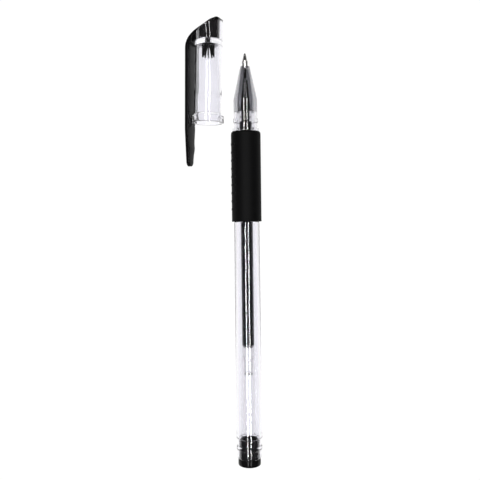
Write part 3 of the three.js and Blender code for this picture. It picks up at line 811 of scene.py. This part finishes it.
# ---------------------------------------------------------------------------------------
# Cap head and clip. One glossy black moulding: a cover that slopes over the sleeve's rim,
# a rounded shoulder, and a long springy clip that tapers to a rounded end with a bump.
# ---------------------------------------------------------------------------------------
CLIP_END_REACH = 7.1
CLIP_OVERHANG = 14.5
CLIP_HALF_WIDTH = 2.8
CLIP_END_HALF_WIDTH = 1.5
CLIP_TAPER = 12.5
COVER_THICKNESS = 1.3
SHOULDER_START = 25.6
PEAK_START = 1.6
BUMP_HEIGHT = 0.25
BUMP_MIDDLE = -8.5
BUMP_SPREAD = 1.6
EDGE = 0.28
CLIP_STEPS = 70
HEAD_STEPS = 60
RAMP_START = -3.0


def spaced(line, count):
    """count points along a polyline, evenly spaced by length."""
    line = np.asarray(line, float)
    steps = np.r_[0, np.cumsum(np.linalg.norm(np.diff(line, axis=0), axis=1))]
    at = np.linspace(0, steps[-1], count)
    return np.stack([np.interp(at, steps, line[:, k]) for k in (0, 1)], axis=-1)


def slant(x):
    """Height of the sleeve's slanted rim."""
    return SLANT_HEIGHT + SLANT_RISE * x


def head_and_clip(name):
    """A solid between an outer and an inner curve of the side view, joined section by section. Each
    section is a rectangle with rounded corners, as wide as the clip or, over the sleeve, as the
    sleeve's chord there, so that the cover's sides follow the sleeve's round wall."""
    end = -CLIP_OVERHANG
    share = 1 - np.cos(np.linspace(0, 1, CLIP_STEPS) ** 0.8 * pi / 2)
    height = end + (SHOULDER_HEIGHT - end) * share
    lean = (CLIP_TOP_REACH - CLIP_END_REACH) / (SHOULDER_HEIGHT - end)
    drop = (SHOULDER_HEIGHT - SHOULDER_START) * (height - end) / (SHOULDER_HEIGHT - end)
    outer_clip = np.stack([-(CLIP_END_REACH + lean * (height - end)), height - drop], axis=-1)
    bump = BUMP_HEIGHT * np.exp(-(((height - BUMP_MIDDLE) / BUMP_SPREAD) ** 2))
    inner_clip = outer_clip + np.stack([CLIP_THICKNESS + bump, drop], axis=-1)
    far = CAP_RADIUS - 0.35
    share = np.linspace(0, 1, 30)[:, None]
    foot = np.array([-CLIP_TOP_REACH, SHOULDER_START])
    corner = np.array([-CLIP_TOP_REACH, slant(-CLIP_TOP_REACH) + COVER_THICKNESS])
    ramp = np.array([RAMP_START, slant(RAMP_START) + COVER_THICKNESS])
    shoulder = (1 - share) ** 2 * foot + 2 * share * (1 - share) * corner + share ** 2 * ramp
    crown = rounded([
        tuple(ramp),
        (PEAK_START, slant(PEAK_START) + COVER_THICKNESS, 6),
        (far - 0.3, slant(PEAK_START) + COVER_THICKNESS + 0.45, 0.8),
        (far, slant(far) + 0.2),
    ], closed=False, steps=24)
    outer_head = np.concatenate([shoulder, crown[1:]])
    low = -CAP_RADIUS - 0.2
    inner_head = rounded([
        (-CLIP_TOP_REACH + CLIP_THICKNESS, SHOULDER_HEIGHT),
        (low - 0.1, SHOULDER_HEIGHT + 0.35, 0.3),
        (low, slant(low) + 0.12, 0.2),
        (far, slant(far) + 0.12),
    ], closed=False, steps=8)
    outer = np.concatenate([outer_clip[:-1], spaced(outer_head, HEAD_STEPS)])
    inner = np.concatenate([inner_clip[:-1], spaced(inner_head, HEAD_STEPS)])
    arc = np.linspace(0, pi / 2, 5)
    quarter = [(1, 1, 0), (-1, 1, 1), (-1, -1, 2), (1, -1, 3)]
    side = np.concatenate([np.full(5, q[0]) for q in quarter])
    face = np.concatenate([np.full(5, q[1]) for q in quarter])
    turn = np.concatenate([arc + q[2] * pi / 2 for q in quarter])
    half_thick = np.linalg.norm(outer - inner, axis=1)[:, None] / 2
    edge = np.minimum(EDGE, 0.8 * half_thick)
    across = ((half_thick - edge) * face + edge * np.sin(turn)) / half_thick
    middle = (outer + inner)[:, None, :] / 2
    spread = (outer - inner)[:, None, :] / 2
    flat = middle + spread * across[:, :, None]
    chord = np.sqrt(np.clip(CAP_RADIUS ** 2 - flat[:, :, 0] ** 2, 0, None))
    chord = np.where(flat[:, :, 0] < -3.2, 0, chord)
    over = np.maximum(chord, CLIP_HALF_WIDTH)
    wide = np.where(flat[:, :, 0] > 0, chord, over)
    rise = flat[:, :, 1] - end
    widening = (CLIP_HALF_WIDTH - CLIP_END_HALF_WIDTH) * np.clip(rise / CLIP_TAPER, 0, 1)
    taper = CLIP_END_HALF_WIDTH + widening
    tip = np.clip(rise / CLIP_END_HALF_WIDTH, 0, 1)
    wide = np.minimum(wide, taper * np.sqrt(1 - (1 - tip) ** 2))
    corner = np.minimum(edge, 0.8 * wide)
    z = (wide - corner) * side + corner * np.cos(turn)
    points = np.stack([flat[:, :, 0], flat[:, :, 1], z], axis=-1)
    rows, columns = z.shape
    return put_mesh(name, from_cap(points.reshape(-1, 3)), grid_quads(rows, columns), crease=40)


head = head_and_clip("cap_head_and_clip")
head.data.materials.append(black_gloss)
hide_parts("cap_head", "clip_arm")
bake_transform(head)


# ---------------------------------------------------------------------------------------
# Cap plug. The same moulding's lower half: a round plug in the sleeve's upper chamber, a
# thin stem through the shelf's hole, and spokes that carry a ring of fingers.
# ---------------------------------------------------------------------------------------
CHAMBER_PLUG_RADIUS = 3.55
PLUG_BOTTOM = 27.9
STEM_RADIUS = 0.6
DIMPLE_RADIUS = 0.42
TAIL_RADIUS = 2.15
TAIL_BORE = 1.85
TAIL_BOTTOM = 22.2
SPOKE_TOP = 25.97
SPOKE_BOTTOM = 25.57
TAIL_FINGERS = 10
FINGER_HALF = 0.2


def plug_and_tail(name, around=240):
    """A turned plug whose top follows the rim's slant, over a stem, spokes and fingers. Round each
    finger's middle the rows reach out along a spoke and down the finger; between fingers the same
    rows fold up against the stem. One finger faces straight up."""
    angle = np.arange(around) * 2 * pi / around
    pitch = 2 * pi / TAIL_FINGERS
    upward = np.arctan2(cap_z[2], cap_x[2])
    aside = ((angle - upward + pitch / 2) % pitch - pitch / 2) * TAIL_RADIUS
    finger = np.abs(aside) < FINGER_HALF
    foot = np.where(finger, TAIL_BOTTOM, SPOKE_BOTTOM)
    inside = np.where(finger, TAIL_BORE, STEM_RADIUS)
    outside = np.where(finger, TAIL_RADIUS, STEM_RADIUS)
    still = 0 * angle
    rows = [
        (still, still + SPOKE_TOP + 0.35),
        (still + DIMPLE_RADIUS, still + SPOKE_BOTTOM),
        (inside, still + SPOKE_BOTTOM),
        (inside, foot),
        (outside, foot),
        (outside, still + SPOKE_TOP),
        (still + STEM_RADIUS, still + SPOKE_TOP),
        (still + STEM_RADIUS, still + PLUG_BOTTOM),
        (still + CHAMBER_PLUG_RADIUS - 0.2, still + PLUG_BOTTOM),
        (still + CHAMBER_PLUG_RADIUS, still + PLUG_BOTTOM + 0.2),
        (still + CHAMBER_PLUG_RADIUS, slant(CHAMBER_PLUG_RADIUS * np.cos(angle)) + 0.4),
        (still, still + slant(0) + 0.4),
    ]
    grid = [np.stack([r * np.cos(angle), y, r * np.sin(angle)], axis=-1) for r, y in rows]
    points = from_cap(np.stack(grid).reshape(-1, 3))
    return put_mesh(name, points, grid_quads(len(grid), around), crease=30)


cap_plug = plug_and_tail("cap_plug_and_tail")
cap_plug.data.materials.append(black_gloss)
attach(cap_plug, "cap")
